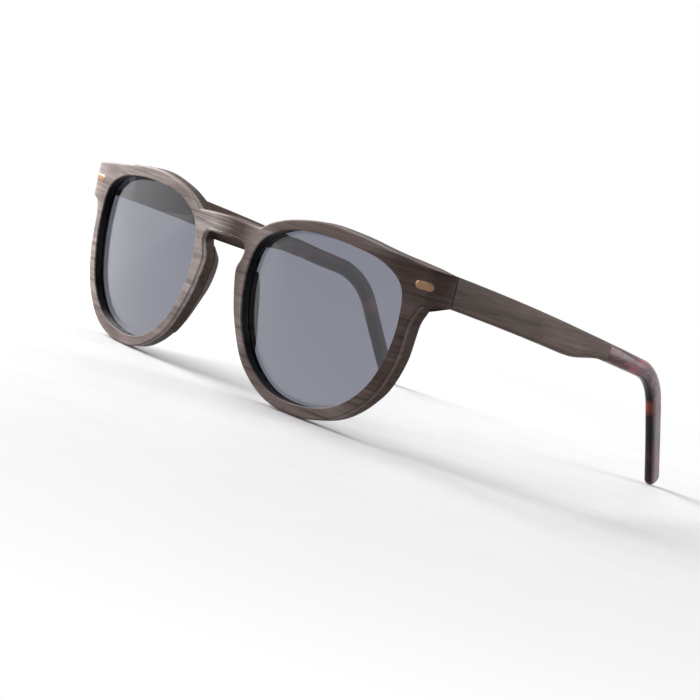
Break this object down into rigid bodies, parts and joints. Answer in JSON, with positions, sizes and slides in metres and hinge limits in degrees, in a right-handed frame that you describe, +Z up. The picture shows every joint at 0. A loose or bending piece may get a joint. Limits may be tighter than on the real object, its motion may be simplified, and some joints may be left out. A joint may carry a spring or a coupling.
{
  "type": "wooden sunglasses",
  "caption": "Sunglasses with a bent wooden front, keyhole bridge, smoked lenses in black liners, wooden temple arms on folding hinges and curved ear tips.",
  "frame": {"origin": "middle of the bounding box, on the plane the rims and the ear tips stand on", "axes": "+X to the wearer's left along the front, +Y back along the temples, +Z up"},
  "size_m": [0.1438, 0.1394, 0.0496],
  "materials": {
    "wood_front": "satin, open grain",
    "wood_temple": "satin, open grain",
    "liner_black": "gloss",
    "lens_smoke": "polished, smoked",
    "rivet_brass": "brushed",
    "hinge_steel": "satin",
    "tip_tortoise": "polished, tortoiseshell"
  },
  "bodies": {
    "front": {"front_frame": "wood_front", "rim_liner_left": "liner_black", "rim_liner_right": "liner_black", "lens_left": "lens_smoke", "lens_right": "lens_smoke", "nose_pad_left": "wood_front", "nose_pad_right": "wood_front", "rivet_left": "rivet_brass", "rivet_right": "rivet_brass", "front_hinge_left": "hinge_steel", "front_hinge_right": "hinge_steel", "front_hinge_screws_left": "hinge_steel", "front_hinge_screws_right": "hinge_steel", "hinge_pin_left": "hinge_steel", "hinge_pin_right": "hinge_steel"},
    "temple_left": {"temple_arm_left": "wood_temple", "temple_core_left": "hinge_steel", "temple_tip_left": "tip_tortoise", "temple_hinge_left": "hinge_steel", "temple_hinge_screws_left": "hinge_steel"},
    "temple_right": {"temple_arm_right": "wood_temple", "temple_core_right": "hinge_steel", "temple_tip_right": "tip_tortoise", "temple_hinge_right": "hinge_steel", "temple_hinge_screws_right": "hinge_steel"}
  },
  "joints": [
    {"name": "left_fold", "type": "hinge", "parent": "front", "child": "temple_left", "pos_m": [0.0659, -0.05576, 0.04218], "axis": [0, -0.0753, 0.9972], "range_deg": [0, 85]},
    {"name": "right_fold", "type": "hinge", "parent": "front", "child": "temple_right", "pos_m": [-0.0659, -0.05576, 0.04218], "axis": [0, 0.0753, -0.9972], "range_deg": [0, 79]}
  ]
}
